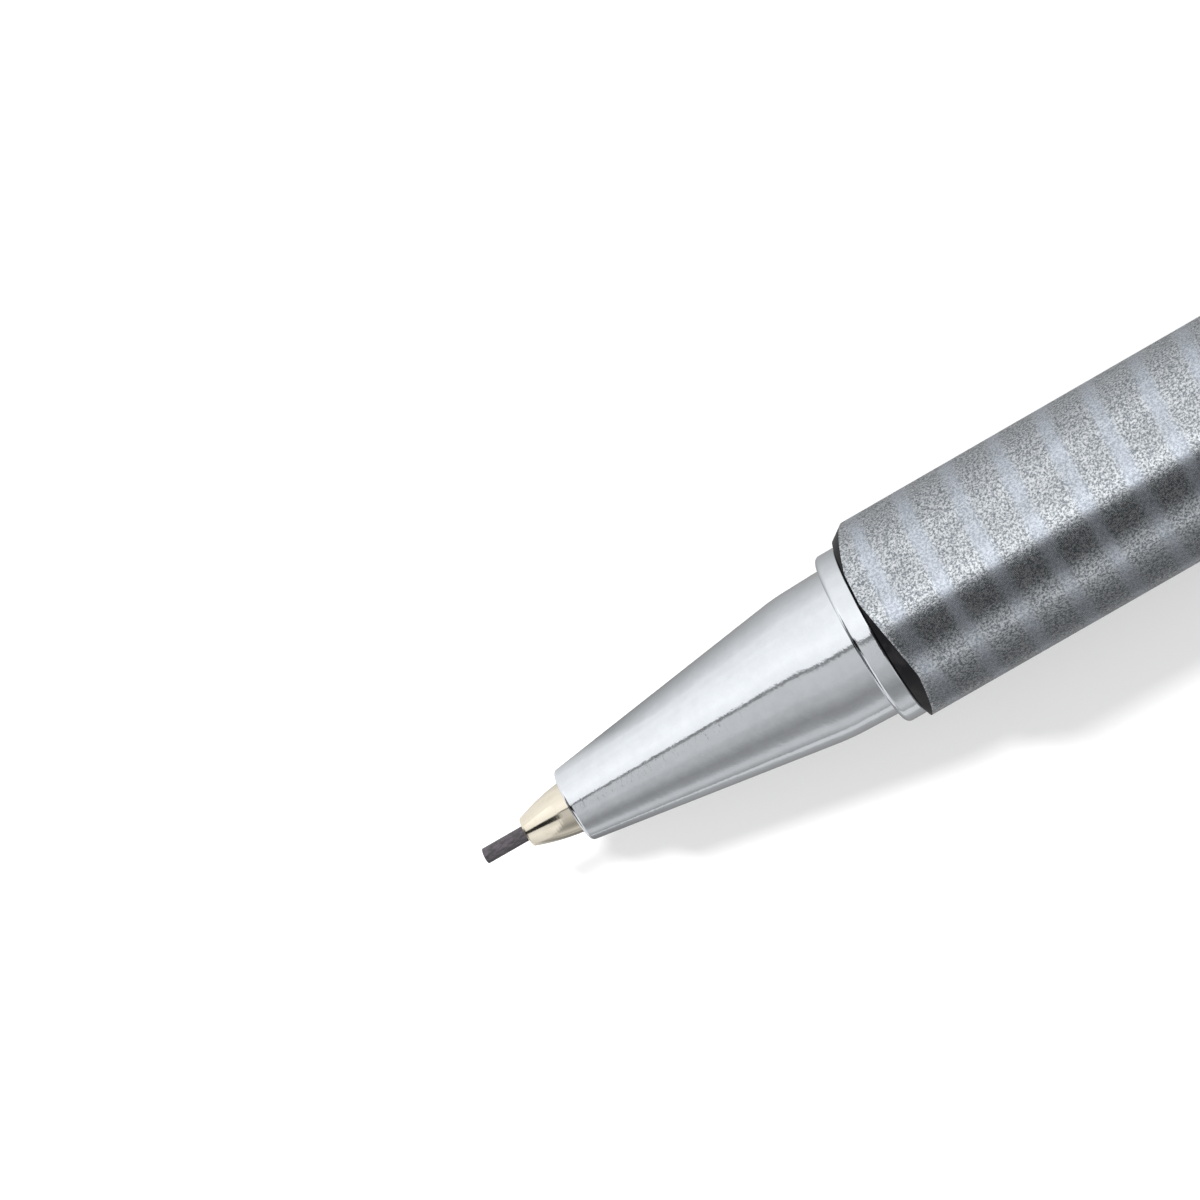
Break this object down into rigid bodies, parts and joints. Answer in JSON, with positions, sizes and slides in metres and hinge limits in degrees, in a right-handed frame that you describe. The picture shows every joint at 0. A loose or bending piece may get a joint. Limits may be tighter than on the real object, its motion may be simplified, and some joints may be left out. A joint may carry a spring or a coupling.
{
  "type": "mechanical pencil",
  "caption": "Slim push-button mechanical pencil with a three-sided silver barrel, chrome nose cone, bare lead, pocket clip and pull-off button over an eraser.",
  "frame": {"origin": "on the pencil's axis, in the middle of the nose collar's length", "axes": "+X along the axis from the lead to the push button, -X out of the tip, -Z out of the flat that the pencil rests on"},
  "size_m": [0.1395, 0.0105, 0.0089],
  "materials": {
    "silver_coat": "black plastic with a fine-grained silver coat, soft pale blue rings printed at an even pitch, bare black at the end chamfers",
    "bright_chrome": "polished chrome plating",
    "guide_nickel": "warm nickel-brass, fine turned",
    "turned_brass": "turned brass",
    "graphite": "graphite lead, dull with a slight sheen",
    "black_rubber": "soft black rubber",
    "black_plastic": "moulded black plastic",
    "pale_plastic": "moulded translucent white plastic",
    "spring_steel": "drawn spring wire",
    "thin_steel": "drawn thin steel",
    "white_eraser": "matt white rubber"
  },
  "bodies": {
    "body": {"barrel": "silver_coat", "thread_insert": "turned_brass", "chuck_sleeve": "black_plastic", "chuck_spring": "spring_steel", "rear_ferrule": "bright_chrome", "ferrule_bush": "black_plastic"},
    "nose": {"nose_cone": "bright_chrome", "lead_guide": "guide_nickel", "lead_retainer": "black_rubber", "nose_o_ring": "black_rubber"},
    "mechanism": {"chuck": "turned_brass", "chuck_coupler": "pale_plastic", "lead_tube": "pale_plastic", "spare_leads": "graphite", "eraser_holder": "thin_steel"},
    "clutch": {"clutch_ring": "turned_brass"},
    "lead_stick": {"lead": "graphite"},
    "button": {"push_button": "bright_chrome", "button_liner": "black_plastic"},
    "eraser_plug": {"eraser": "white_eraser"},
    "clip_arm": {"clip": "bright_chrome"}
  },
  "joints": [
    {"name": "click", "type": "slide", "parent": "body", "child": "mechanism", "axis": [-1, 0, 0], "range_m": [0, 0.002], "stiffness_N_per_m": 400, "springref_m": -0.003, "deforming": ["chuck_spring"]},
    {"name": "clutch_follow", "type": "slide", "parent": "body", "child": "clutch", "axis": [-1, 0, 0], "range_m": [0, 0.00075]},
    {"name": "lead_feed", "type": "slide", "parent": "clutch", "child": "lead_stick", "axis": [-1, 0, 0], "range_m": [-0.002, 0.01]},
    {"name": "cap_pull", "type": "slide", "parent": "mechanism", "child": "button", "axis": [1, 0, 0], "range_m": [0, 0.022]},
    {"name": "eraser_pull", "type": "slide", "parent": "mechanism", "child": "eraser_plug", "axis": [1, 0, 0], "range_m": [0, 0.008]},
    {"name": "nose_off", "type": "slide", "parent": "body", "child": "nose", "axis": [-1, 0, 0], "range_m": [0, 0.03]},
    {"name": "clip_flex", "type": "hinge", "parent": "body", "child": "clip_arm", "pos_m": [0.10881, -0.00316, 0.00183], "axis": [0, 0.5, 0.866], "range_deg": [0, 3], "stiffness_Nm_per_rad": 0.2}
  ],
  "couplings": [
    {"joint": "clutch_follow", "follows": "click", "ratio": 0.35},
    {"joint": "eraser_pull", "follows": "cap_pull", "ratio": 0.35}
  ]
}
